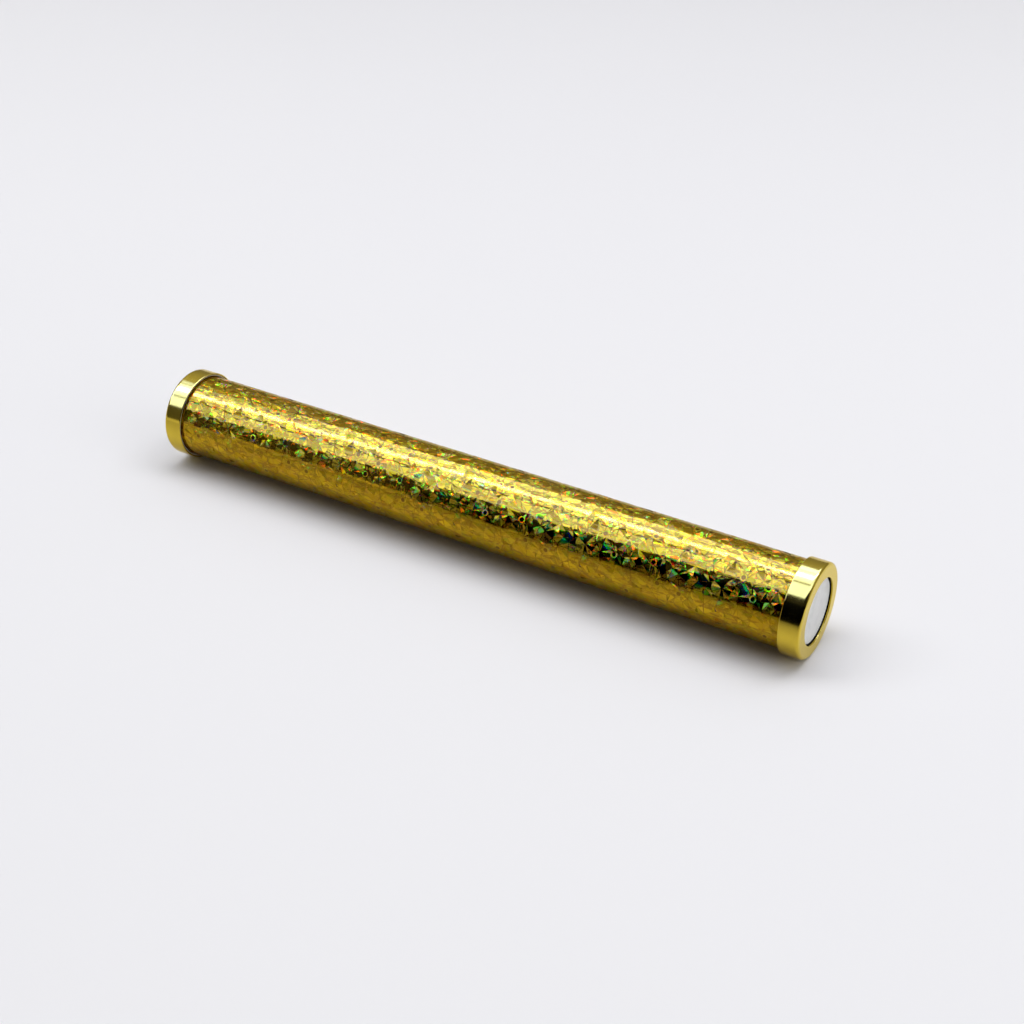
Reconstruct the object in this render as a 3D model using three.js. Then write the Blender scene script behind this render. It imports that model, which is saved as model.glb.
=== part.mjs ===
// A pocket kaleidoscope: a card tube wrapped in embossed gold film, closed by two drawn metal caps.
// The front cap frames a frosted disc, held by a black bezel, that lights a cell of loose beads and
// chips. A prism of three mirrors runs back from the cell to an eye hole behind the rear cap.
//
// Millimetres. The tube lies along X with the object cell at +X and the eye hole at -X. Z is up, and
// the origin is on the surface that the caps rest on, midway along the tube.
import * as THREE from "three";
import { mergeVertices } from "three/addons/utils/BufferGeometryUtils.js";

// Driving dimensions
const LENGTH = 155;
const CAP_RADIUS = 10;
const CAP_WALL = 0.35;
const CAP_DEPTH = 4.5;
const CAP_HOLE_RADIUS = 7;
const CAP_SHOULDER = 0.7; // radius of the bend between the skirt and the face
const FILM_RADIUS = 9.25;
const FILM_THICKNESS = 0.12;
const FILM_OVERLAP = 4.5; // width of the glued lap, round the tube
const TUBE_WALL = 0.8;
const WASHER_RADIUS = 9.4; // of the bezel, eye mask and eye window, which sit in the caps
const BEZEL_THICKNESS = 1.05;
const BEZEL_SINK = 0.45; // how far the bezel's inner land lies below its outer one
const DISC_THICKNESS = 1;
const DIFFUSER_SINK = 0.55; // how far the frosted disc lies behind the front cap's face
const DIFFUSER_RADIUS = 6.85;
const DIFFUSER_FLANGE = 0.8;
const EYE_MASK_THICKNESS = 0.8;
const EYE_HOLE_RADIUS = 3.5;
const CELL_LENGTH = 7;
const CELL_WALL = 0.8;
const MIRROR_THICKNESS = 1;
const CHANNEL_INRADIUS = 3.1; // from the axis to each reflecting face
const REAR_SPACER_LENGTH = 3;
const CAP_BAND_WIDTH = 2;

const SLIP = 0.05; // gap between pieces that touch
const SEGMENTS = 48; // facets round every turned piece

// Places worked out from those
const FRONT = LENGTH / 2;
const REAR = -LENGTH / 2;
const BEZEL_FRONT = FRONT - CAP_WALL - SLIP;
const BEZEL_REAR = BEZEL_FRONT - BEZEL_THICKNESS;
const TUBE_FRONT = BEZEL_REAR - SLIP;
const DIFFUSER_REAR = TUBE_FRONT - DIFFUSER_FLANGE;
const EYE_MASK_REAR = REAR + CAP_WALL + SLIP;
const EYE_WINDOW_REAR = EYE_MASK_REAR + EYE_MASK_THICKNESS + SLIP;
const TUBE_REAR = EYE_WINDOW_REAR + DISC_THICKNESS + SLIP;
const FILM_INNER = FILM_RADIUS - FILM_THICKNESS;
const TUBE_RADIUS = FILM_INNER - SLIP;
const BORE_RADIUS = TUBE_RADIUS - TUBE_WALL;
const INSERT_RADIUS = BORE_RADIUS - 2 * SLIP;
const CELL_RADIUS = INSERT_RADIUS - CELL_WALL;
const CELL_FRONT = DIFFUSER_REAR - SLIP;
const CELL_REAR = CELL_FRONT - CELL_LENGTH;
const CELL_WINDOW_REAR = CELL_REAR - SLIP - DISC_THICKNESS;
const MIRROR_FRONT = CELL_WINDOW_REAR - SLIP;
const MIRROR_REAR = TUBE_REAR + REAR_SPACER_LENGTH + SLIP;

const material = (color, roughness, metalness, extra = {}) =>
  new THREE.MeshStandardMaterial({ color, roughness, metalness, ...extra });
const gold = material(0xc9a83a, 0.28, 1);
const goldFilm = material(0xc8a018, 0.18, 1);
const card = material(0xb89a74, 0.9, 0);
const blackCard = material(0x141414, 0.85, 0);
const blackPlastic = material(0x0c0c0d, 0.5, 0);
const frosted = material(0xdedbd6, 0.75, 0);
const clear = material(0xf4f8f8, 0.05, 0, { transparent: true, opacity: 0.3 });
const mirror = material(0xe6e8ea, 0.04, 1);
const foam = material(0x2a2a2c, 0.95, 0);
const tape = material(0x1c1c1e, 0.5, 0);
const adhesive = material(0xd8cfae, 0.6, 0);
const glass = (color) => material(color, 0.12, 0, { transparent: true, opacity: 0.7 });

const kaleidoscope = new THREE.Group();
const barrel = new THREE.Group(); // everything stands round this axis
barrel.position.z = CAP_RADIUS;
kaleidoscope.add(barrel);

function add(name, geometry, itsMaterial) {
  const mesh = new THREE.Mesh(geometry, itsMaterial);
  mesh.name = name;
  barrel.add(mesh);
  return mesh;
}

// Turns a closed outline of [x, radius] points round the X axis. Radii are to the flats of the facets.
function turned(outline) {
  const toCorner = 1 / Math.cos(Math.PI / SEGMENTS);
  const points = [...outline, outline[0]].map(([x, r]) => new THREE.Vector2(r * toCorner, x));
  const half = Math.PI / SEGMENTS;
  return new THREE.LatheGeometry(points, SEGMENTS, half, 2 * Math.PI).rotateZ(-Math.PI / 2);
}

const ringOutline = (rear, front, inner, outer) => [
  [rear, inner],
  [rear, outer],
  [front, outer],
  [front, inner],
];
const ring = (rear, front, inner, outer) => turned(ringOutline(rear, front, inner, outer));
const disc = (rear, front, radius) => ring(rear, front, 0, radius);

// Extrudes a shape drawn in the YZ plane from rear to front along X.
function drawnAlongX(shape, rear, front, curveSegments = 12) {
  const settings = { depth: front - rear, bevelEnabled: false, curveSegments };
  const geometry = new THREE.ExtrudeGeometry(shape, settings);
  // The drawing's axes (x, y) become (Y, Z), and its depth becomes X.
  const basis = new THREE.Matrix4().makeBasis(
    new THREE.Vector3(0, 1, 0),
    new THREE.Vector3(0, 0, 1),
    new THREE.Vector3(1, 0, 0),
  );
  return geometry.applyMatrix4(basis).translate(rear, 0, 0);
}

// A drawn cup with a round window in its face. facing is 1 for the front cap and -1 for the rear one.
function cap(name, facing) {
  const face = FRONT;
  const mouth = face - CAP_DEPTH;
  const steps = 5;
  const shoulder = [];
  for (let i = 0; i <= steps; i++) {
    const turn = (i / steps) * (Math.PI / 2);
    shoulder.push([
      face - CAP_SHOULDER * (1 - Math.cos(turn)),
      CAP_RADIUS - CAP_SHOULDER * (1 - Math.sin(turn)),
    ]);
  }
  const outline = [
    [face - CAP_WALL, CAP_HOLE_RADIUS],
    [face - CAP_WALL, CAP_RADIUS - CAP_WALL],
    [mouth, CAP_RADIUS - CAP_WALL],
    [mouth, CAP_RADIUS],
    ...shoulder.reverse(),
    [face, CAP_HOLE_RADIUS],
  ];
  const geometry = turned(outline);
  if (facing < 0) geometry.rotateZ(Math.PI);
  return add(name, geometry, gold);
}

// The band of adhesive tape that holds a cap's skirt to the film, set back from the cap's mouth.
function capBand(name, facing) {
  const inner = FILM_RADIUS + FILM_THICKNESS + SLIP;
  const outer = CAP_RADIUS - CAP_WALL - SLIP / 2;
  const deep = facing > 0 ? TUBE_FRONT : -TUBE_REAR;
  const geometry = ring(deep - CAP_BAND_WIDTH, deep, inner, outer);
  if (facing < 0) geometry.rotateZ(Math.PI);
  return add(name, geometry, adhesive);
}

// The black ring behind the front cap. Its inner land holds the frosted disc by the disc's flange.
function cellBezel() {
  const land = BEZEL_FRONT - BEZEL_SINK;
  const inner = DIFFUSER_RADIUS + 2 * SLIP;
  const outline = [
    [BEZEL_REAR, inner],
    [BEZEL_REAR, WASHER_RADIUS],
    [BEZEL_FRONT, WASHER_RADIUS],
    [BEZEL_FRONT, BORE_RADIUS - 2 * SLIP],
    [land, BORE_RADIUS - 2 * SLIP],
    [land, inner],
  ];
  add("cell_bezel", turned(outline), blackPlastic);
}

// The disc that lets light into the cell: a flange in the tube's bore and a boss in the bezel.
function frostedDisc() {
  const face = FRONT - DIFFUSER_SINK;
  const step = TUBE_FRONT;
  const outline = [
    [DIFFUSER_REAR, 0],
    [DIFFUSER_REAR, INSERT_RADIUS],
    [step, INSERT_RADIUS],
    [step, DIFFUSER_RADIUS],
    [face, DIFFUSER_RADIUS],
    [face, 0],
  ];
  add("frosted_disc", turned(outline), frosted);
}

// The film is one sheet rolled round the tube, its last edge lapped over its first.
function filmWrap() {
  const lap = FILM_OVERLAP / FILM_RADIUS;
  const start = -0.38 * Math.PI; // the lap is under the tube, towards its back
  const end = start + 2 * Math.PI + lap;
  const rise = FILM_THICKNESS + 0.02;
  const ramp = 0.3;
  const steps = 72;
  const liftAt = (angle) => {
    const along = (angle - (start + 2 * Math.PI - ramp)) / ramp;
    return rise * THREE.MathUtils.smoothstep(along, 0, 1);
  };
  const at = (radius, angle) => {
    const r = radius + liftAt(angle);
    return new THREE.Vector2(r * Math.cos(angle), r * Math.sin(angle));
  };
  const outer = [];
  const inner = [];
  for (let i = 0; i <= steps; i++) {
    const angle = start + ((end - start) * i) / steps;
    outer.push(at(FILM_RADIUS, angle));
    inner.push(at(FILM_INNER, angle));
  }
  const shape = new THREE.Shape([...outer, ...inner.reverse()]);
  add("film_wrap", drawnAlongX(shape, TUBE_REAR + SLIP, TUBE_FRONT - SLIP), goldFilm);
}

// The outline of one mirror strip's section, with its reflecting face towards the axis. Each strip
// stops at one corner of the channel and runs past the next, so the three close on each other.
const HALF_SIDE = CHANNEL_INRADIUS * Math.sqrt(3);
const MIRROR_SHORT_END = HALF_SIDE - 0.1;
const MIRROR_LONG_END = HALF_SIDE + MIRROR_THICKNESS / Math.sin(Math.PI / 3);
const mirrorCorners = (turn) =>
  [
    [-MIRROR_SHORT_END, -CHANNEL_INRADIUS],
    [-MIRROR_SHORT_END, -CHANNEL_INRADIUS - MIRROR_THICKNESS],
    [MIRROR_LONG_END, -CHANNEL_INRADIUS - MIRROR_THICKNESS],
    [MIRROR_LONG_END, -CHANNEL_INRADIUS],
  ].map(([x, y]) => new THREE.Vector2(x, y).rotateAround(new THREE.Vector2(), turn));

const THIRDS = [0, 1, 2].map((i) => (i * 2 * Math.PI) / 3);

function mirrors() {
  THIRDS.forEach((turn, i) => {
    const shape = new THREE.Shape(mirrorCorners(turn));
    add(`mirror_strip_${i + 1}`, drawnAlongX(shape, MIRROR_REAR, MIRROR_FRONT), mirror);
  });
}

// Moves each side of a convex outline, given anticlockwise, outwards by a distance.
function grown(corners, distance) {
  const side = (i) => {
    const a = corners[i];
    const b = corners[(i + 1) % corners.length];
    const along = b.clone().sub(a).normalize();
    return { from: a.clone().add(new THREE.Vector2(along.y, -along.x).multiplyScalar(distance)), along };
  };
  return corners.map((_, i) => {
    const before = side((i + corners.length - 1) % corners.length);
    const after = side(i);
    const gap = after.from.clone().sub(before.from);
    const reach = gap.cross(after.along) / before.along.cross(after.along);
    return before.from.clone().addScaledVector(before.along, reach);
  });
}

// Three bands of tape bind the mirrors into one prism.
function prismTapes() {
  const width = 10;
  const thickness = 0.15;
  const hull = THIRDS.flatMap((turn) => mirrorCorners(turn).slice(2, 4));
  const places = { rear: 0.22, middle: 0.5, front: 0.78 };
  for (const [name, share] of Object.entries(places)) {
    const centre = THREE.MathUtils.lerp(MIRROR_REAR, MIRROR_FRONT, share);
    const shape = new THREE.Shape(grown(hull, SLIP + thickness));
    shape.holes.push(new THREE.Path(grown(hull, SLIP)));
    const geometry = drawnAlongX(shape, centre - width / 2, centre + width / 2);
    add(`prism_tape_${name}`, geometry, tape);
  }
}

// Foam pads, each filling the space between one mirror's back and the tube, hold the prism central.
function foamPads() {
  const length = 12;
  const chord = CHANNEL_INRADIUS + MIRROR_THICKNESS + 2 * SLIP;
  const half = Math.acos(chord / INSERT_RADIUS);
  const ends = { rear: MIRROR_REAR + 2, front: MIRROR_FRONT - 2 - length };
  for (const [name, rear] of Object.entries(ends)) {
    THIRDS.forEach((turn, i) => {
      const down = turn - Math.PI / 2;
      const shape = new THREE.Shape();
      shape.absarc(0, 0, INSERT_RADIUS, down - half, down + half, false);
      shape.closePath();
      add(`foam_pad_${name}_${i + 1}`, drawnAlongX(shape, rear, rear + length, 14), foam);
    });
  }
}

// A flat chip cut from a sheet, centred on the X axis: corners lie at the radii given, evenly spaced.
function chipShape(radii) {
  const corners = radii.map((r, i) => {
    const angle = (i / radii.length) * 2 * Math.PI;
    return new THREE.Vector2(r * Math.cos(angle), r * Math.sin(angle));
  });
  return new THREE.Shape(corners);
}

const chip = (thickness, radii) => drawnAlongX(chipShape(radii), -thickness / 2, thickness / 2);
const star = (thickness, outer, inner) =>
  chip(thickness, Array.from({ length: 10 }, (_, i) => (i % 2 ? inner : outer)));
const roundBead = (radius) => mergeVertices(bareIcosahedron(radius, 3));

function bareIcosahedron(radius, detail) {
  const geometry = new THREE.IcosahedronGeometry(radius, detail);
  geometry.deleteAttribute("normal");
  geometry.deleteAttribute("uv");
  return geometry;
}

// A short drilled bead, its hole along X.
function tubeBead(length, radius, holeRadius) {
  const points = ringOutline(-length / 2, length / 2, holeRadius, radius);
  const closed = [...points, points[0]].map(([x, r]) => new THREE.Vector2(r, x));
  return new THREE.LatheGeometry(closed, 20).rotateZ(-Math.PI / 2);
}

// A flat drop: a round end drawn out to a point.
function drop(thickness, radius, reach) {
  const shape = new THREE.Shape();
  const tangent = Math.acos(radius / reach);
  shape.absarc(0, 0, radius, tangent, 2 * Math.PI - tangent, false);
  shape.lineTo(reach, 0);
  return drawnAlongX(shape, -thickness / 2, thickness / 2, 14);
}

// A half-moon sequin.
function halfMoon(thickness, radius) {
  const shape = new THREE.Shape();
  shape.absarc(0, 0, radius, 0, Math.PI, false);
  shape.closePath();
  return drawnAlongX(shape, -thickness / 2, thickness / 2, 14);
}

// The loose pieces. Each has a slot along the cell and an orbit round the axis to itself: out is the
// distance of its middle from the axis, and swing its place round it, in degrees from the lowest point.
const CELL_SLOTS = { a: 1.45, b: 3.2, c: 4.2, d: 5.2, e: 6.2 };
const THIN = 0.7;
const LOOSE = [
  { name: "bead_ruby", slot: "a", out: 6.05, swing: -10, color: 0xb81830, make: () => roundBead(1.2) },
  { name: "bead_pearl", slot: "a", out: 3.35, swing: 12, color: 0xf0ece0, make: () => roundBead(1.2) },
  { name: "bead_tube_gold", slot: "a", out: 0.9, swing: -20, color: 0xd8b040, make: () => tubeBead(2.2, 0.85, 0.35) },
  { name: "star_sequin", slot: "b", out: 5.6, swing: 14, spin: 18, color: 0x2a62c8, make: () => star(THIN, 1.7, 0.8) },
  { name: "chip_green", slot: "b", out: 2.1, swing: -8, spin: 40, color: 0x1f9a4c, make: () => chip(THIN, [1.6, 1.2, 1.7, 1.3]) },
  { name: "chip_amber", slot: "c", out: 5.5, swing: -22, spin: 75, color: 0xe08a1c, make: () => chip(THIN, [1.8, 1.5, 1.7]) },
  { name: "sequin_round", slot: "c", out: 2.3, swing: 16, color: 0xd84a94, make: () => tubeBead(THIN, 1.4, 0.3) },
  { name: "drop_turquoise", slot: "d", out: 5.3, swing: 6, spin: 200, color: 0x22a8b4, make: () => drop(THIN, 1, 2.1) },
  { name: "chip_violet", slot: "d", out: 1.8, swing: -18, spin: 10, color: 0x7440b0, make: () => chip(THIN, [1.4, 1.3, 1.5, 1.1, 1.4]) },
  { name: "half_moon_sequin", slot: "e", out: 5.9, swing: -16, spin: 170, color: 0xe8cc3a, make: () => halfMoon(THIN, 1.5) },
  { name: "chip_red", slot: "e", out: 2.9, swing: 10, spin: 130, color: 0xcc2420, make: () => chip(THIN, [1.5, 1.2, 1.6]) },
];

function loosePieces() {
  for (const { name, slot, out, swing, spin = 0, color, make } of LOOSE) {
    const angle = THREE.MathUtils.degToRad(swing - 90);
    const mesh = add(name, make(), glass(color));
    mesh.position.set(CELL_REAR + CELL_SLOTS[slot], out * Math.cos(angle), out * Math.sin(angle));
    mesh.rotation.x = THREE.MathUtils.degToRad(spin);
  }
}

cap("front_cap", 1);
cap("rear_cap", -1);
capBand("front_cap_tape", 1);
capBand("rear_cap_tape", -1);
add("card_tube", ring(TUBE_REAR, TUBE_FRONT, BORE_RADIUS, TUBE_RADIUS), card);
filmWrap();
cellBezel();
frostedDisc();
const eyeMaskFront = EYE_MASK_REAR + EYE_MASK_THICKNESS;
add("eye_mask", ring(EYE_MASK_REAR, eyeMaskFront, EYE_HOLE_RADIUS, WASHER_RADIUS), blackCard);
add("eye_window", disc(EYE_WINDOW_REAR, EYE_WINDOW_REAR + DISC_THICKNESS, WASHER_RADIUS), clear);
const spacerBore = CELL_RADIUS - 0.6;
add("rear_spacer_ring", ring(TUBE_REAR, MIRROR_REAR - SLIP, spacerBore, INSERT_RADIUS), blackCard);
add("cell_ring", ring(CELL_REAR, CELL_FRONT, CELL_RADIUS, INSERT_RADIUS), clear);
add("cell_window", disc(CELL_WINDOW_REAR, CELL_REAR - SLIP, INSERT_RADIUS), clear);
mirrors();
prismTapes();
foamPads();
loosePieces();

export default kaleidoscope;
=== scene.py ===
"""A pocket kaleidoscope: a card tube in gold holographic film, with thin gold metal caps.

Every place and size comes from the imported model, in metres. The tube lies along X, with its frosted
disc at +X and its eye hole at -X. Lengths in the outlines below are in millimetres.
"""

import math
import random

import bmesh
import bpy
from mathutils import Euler, Matrix, Vector
from mathutils.geometry import delaunay_2d_cdt


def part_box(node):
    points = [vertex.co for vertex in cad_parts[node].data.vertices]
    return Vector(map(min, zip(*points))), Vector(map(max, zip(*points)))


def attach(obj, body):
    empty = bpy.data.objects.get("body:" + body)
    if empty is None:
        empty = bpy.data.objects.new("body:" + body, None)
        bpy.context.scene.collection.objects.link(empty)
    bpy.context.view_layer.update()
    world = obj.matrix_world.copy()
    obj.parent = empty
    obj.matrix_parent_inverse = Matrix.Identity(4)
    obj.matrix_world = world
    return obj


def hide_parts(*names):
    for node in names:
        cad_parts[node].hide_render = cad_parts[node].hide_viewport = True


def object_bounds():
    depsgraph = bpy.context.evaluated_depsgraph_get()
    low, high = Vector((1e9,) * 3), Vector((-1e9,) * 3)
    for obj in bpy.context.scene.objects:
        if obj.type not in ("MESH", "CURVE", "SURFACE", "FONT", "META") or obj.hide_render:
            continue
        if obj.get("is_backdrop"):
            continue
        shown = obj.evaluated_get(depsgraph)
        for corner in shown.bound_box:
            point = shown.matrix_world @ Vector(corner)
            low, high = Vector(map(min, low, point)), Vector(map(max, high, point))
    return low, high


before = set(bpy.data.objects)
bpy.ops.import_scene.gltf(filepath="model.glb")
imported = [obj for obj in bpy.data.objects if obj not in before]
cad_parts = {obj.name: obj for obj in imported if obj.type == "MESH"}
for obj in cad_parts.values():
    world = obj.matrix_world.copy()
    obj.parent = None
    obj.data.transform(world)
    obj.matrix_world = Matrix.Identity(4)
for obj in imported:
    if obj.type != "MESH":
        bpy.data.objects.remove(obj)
cad_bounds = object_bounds()

MM = 0.001
BARREL = "barrel"


# ------------------------------------------------------------------ measures from the frame

def span(node, axis=0):
    """A node's lowest and highest place along an axis, in millimetres."""
    low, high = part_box(node)
    return low[axis] / MM, high[axis] / MM


def outer_radius(node):
    """Half of a round node's width, in millimetres."""
    low, high = span(node, 1)
    return (high - low) / 2


AXIS_HEIGHT = sum(span("front_cap", 2)) / 2 * MM  # in metres
CAP_RADIUS = outer_radius("front_cap")
CAP_WALL = 0.35
CAP_BEND = 0.7  # outer radius of the bend between the skirt and the face
CAP_HOLE_RADIUS = 7.0
FILM_START_ANGLE = -0.38 * math.pi  # where the sheet's first edge lies, from +Y towards +Z
FILM_THICKNESS = 0.12
FILM_LAP = 4.5  # width of the glued lap, round the tube
FILM_RADIUS = 9.25
FILM_REAR, FILM_FRONT = span("film_wrap")
LAP_RAMP = 0.3  # angle in which the sheet climbs onto its first edge
LAP_LIFT = FILM_THICKNESS + 0.02
DISC_RADIUS = outer_radius("frosted_disc")
DISC_BOSS_RADIUS = 6.85
DISC_CLEARANCE = 0.1  # round the disc's boss
BEZEL_SINK = 0.45  # how far the bezel's inner land lies behind its outer rim
SLIP = 0.05  # gap between the bezel and the disc's flange
EYE_HOLE_RADIUS = 3.5


# ------------------------------------------------------------------ objects

def add_object(name, data):
    """An object with this data, in the scene."""
    made = bpy.data.objects.new(name, data)
    bpy.context.scene.collection.objects.link(made)
    return made


def hide_from(shown, *rays):
    """Hides an object from kinds of rays, such as glossy ones."""
    for ray in rays:
        setattr(shown, f"visible_{ray}", False)


# ------------------------------------------------------------------ node trees

def node(tree, kind, inputs=None, **properties):
    """Adds a shader node. inputs maps an input's name or number to a value or to a socket."""
    made = tree.nodes.new(kind)
    for name, value in properties.items():
        setattr(made, name, value)
    for key, value in (inputs or {}).items():
        if isinstance(value, bpy.types.NodeSocket):
            tree.links.new(value, made.inputs[key])
        else:
            made.inputs[key].default_value = value
    return made


def maths(tree, operation, *values):
    return node(tree, "ShaderNodeMath", dict(enumerate(values)), operation=operation).outputs[0]


def scaled_value(tree, value, factor):
    return maths(tree, "MULTIPLY", value, factor)


def vector_maths(tree, operation, *values, out=0):
    inputs = dict(enumerate(values))
    made = node(tree, "ShaderNodeVectorMath", inputs, operation=operation)
    return made.outputs[out]


def scaled(tree, vector, factor):
    """A vector times a number, which may be a socket."""
    made = node(tree, "ShaderNodeVectorMath", {0: vector, "Scale": factor}, operation="SCALE")
    return made.outputs[0]


def ramp(tree, value, *stops):
    """A colour ramp through (place, colour) stops."""
    made = node(tree, "ShaderNodeValToRGB", {0: value})
    elements = made.color_ramp.elements
    while len(elements) < len(stops):
        elements.new(0.5)
    for element, (place, colour) in zip(elements, stops):
        element.position = place
        element.color = (*colour, 1)
    return made.outputs[0]


def grey(level):
    return (level, level, level)


def noise(tree, vector, scale, detail=3.0, roughness=0.5, distortion=0.0):
    inputs = {
        "Vector": vector,
        "Scale": scale,
        "Detail": detail,
        "Roughness": roughness,
        "Distortion": distortion,
    }
    return node(tree, "ShaderNodeTexNoise", inputs).outputs[0]


def mapped(tree, value, low, high, to_low=0.0, to_high=1.0):
    """A value's range from low to high, stretched to another range and held at its ends."""
    inputs = {0: value, 1: low, 2: high, 3: to_low, 4: to_high}
    return node(tree, "ShaderNodeMapRange", inputs).outputs[0]


def bump(tree, height, distance):
    """The normal of a surface raised by a height between 0 and 1 times a distance in metres."""
    return node(tree, "ShaderNodeBump", {"Height": height, "Distance": distance}).outputs[0]


def vector_mix(tree, factor, first, second):
    inputs = {"Factor": factor, "A": first, "B": second}
    return node(tree, "ShaderNodeMix", inputs, data_type="VECTOR").outputs["Result"]


def shader_mix(tree, factor, first, second):
    return node(tree, "ShaderNodeMixShader", {0: factor, 1: first, 2: second}).outputs[0]


def axis_coordinates(tree):
    """The place in millimetres with the tube's axis at zero, its part along the tube, and its
    distance from the axis."""
    place = node(tree, "ShaderNodeTexCoord").outputs["Object"]
    centred = vector_maths(tree, "SUBTRACT", place, (0, 0, AXIS_HEIGHT))
    place_mm = scaled(tree, centred, 1 / MM)
    apart = node(tree, "ShaderNodeSeparateXYZ", {0: place_mm})
    flat = node(tree, "ShaderNodeCombineXYZ", {1: apart.outputs[1], 2: apart.outputs[2]}).outputs[0]
    radius = vector_maths(tree, "LENGTH", flat, out="Value")
    return place_mm, apart.outputs[0], radius


def new_material(name):
    """An empty node material and its output node."""
    material = bpy.data.materials.new(name)
    material.use_nodes = True
    material.node_tree.nodes.clear()
    output = node(material.node_tree, "ShaderNodeOutputMaterial")
    return material, material.node_tree, output


def finish_material(tree, output, shader):
    """Ends a material with a shader's output."""
    tree.links.new(shader, output.inputs["Surface"])


def finish_principled(tree, output, inputs):
    """Ends a material with one principled shader."""
    finish_material(tree, output, node(tree, "ShaderNodeBsdfPrincipled", inputs).outputs[0])


# ------------------------------------------------------------------ materials

GOLD = (0.61, 0.44, 0.04)
FACE_SHEEN_GOLD = (0.78, 0.61, 0.12)  # painted sheen: the end faces are painted paler than the skirts, for the pale grazing reflection of the table they show
GOLD_EDGE = (0.9, 0.84, 0.62, 1)
FILM_GOLD = (0.56, 0.345, 0.002)
FILM_EDGE = (0.85, 0.78, 0.5, 1)
FILM_LINE = (0.2, 0.09, 0.001)
MIRROR_LEAN = 0.05  # share of a shard's lean by which its mirror is out of true
# The colours that a shard throws aside, and which way each is spread from the others. A third of
# the thrown light goes to each, so each colour is here three times over.
FILM_SPECTRUM = (((1.25, 0, 0), 1), ((0, 0.8, 0), 0), ((0, 0, 0.05), -1))
FILM_ROUGHNESS = 0.045
THROWN_ROUGHNESS = 0.06
MATT_ROUGHNESS = 0.4  # speckled materials rougher than this are matt
SPIRAL_PITCH = 34.0  # of the card tube's windings


def cap_metal(name):
    """Drawn sheet in satin gold: fine turning marks, faint blotches and a thin clear lacquer. The end
    faces are painted paler, a painted sheen.
    """
    material, tree, output = new_material(name)
    place, along, radius = axis_coordinates(tree)
    around = node(tree, "ShaderNodeCombineXYZ", {0: along, 1: radius}).outputs[0]
    streak_place = vector_maths(tree, "ADD", around, scaled(tree, place, 0.012))
    marks = noise(tree, streak_place, 9.0, detail=4.0)
    blotch = noise(tree, place, 0.35, detail=2.0)
    grain = noise(tree, place, 14.0, detail=2.0)
    dull, bright = (tuple(level * c for c in GOLD) for level in (0.93, 1.03))
    skirt = ramp(tree, blotch, (0.3, dull), (0.7, bright))
    # painted sheen: where the surface faces along the tube, its colour turns to the paler face gold
    outward = node(tree, "ShaderNodeNewGeometry").outputs["Normal"]
    facing = node(tree, "ShaderNodeSeparateXYZ", {0: outward})
    face_sheen_share = mapped(tree, maths(tree, "ABSOLUTE", facing.outputs[0]), 0.6, 1.0)
    colour = vector_mix(tree, face_sheen_share, skirt, FACE_SHEEN_GOLD)
    worn = mapped(tree, marks, 0.3, 0.7, 0.085, 0.145)
    rough = maths(tree, "ADD", worn, scaled_value(tree, grain, 0.03))
    relief = maths(tree, "ADD", marks, scaled_value(tree, grain, 0.35))
    inputs = {
        "Base Color": colour,
        "Metallic": 1.0,
        "Roughness": rough,
        "Specular Tint": GOLD_EDGE,
        "Coat Weight": 0.14,
        "Coat Roughness": 0.1,
        "Normal": bump(tree, relief, 0.0006 * MM),
    }
    finish_principled(tree, output, inputs)
    return material


def tilted(tree, normal, along, across, grating, factor):
    """The normal leant along a shard's grating by the grating's strength times a factor."""
    parts = node(tree, "ShaderNodeSeparateXYZ", {0: grating})
    lean_x = scaled(tree, along, scaled_value(tree, parts.outputs[0], factor))
    lean_y = scaled(tree, across, scaled_value(tree, parts.outputs[1], factor))
    leant = vector_maths(tree, "ADD", vector_maths(tree, "ADD", normal, lean_x), lean_y)
    return vector_maths(tree, "NORMALIZE", leant)


def even_mix(tree, shaders):
    """A mix in which every shader has the same share."""
    mixed = shaders[0]
    for i, shader in enumerate(shaders[1:]):
        mixed = shader_mix(tree, 1 / (i + 2), mixed, shader)
    return mixed


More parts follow.
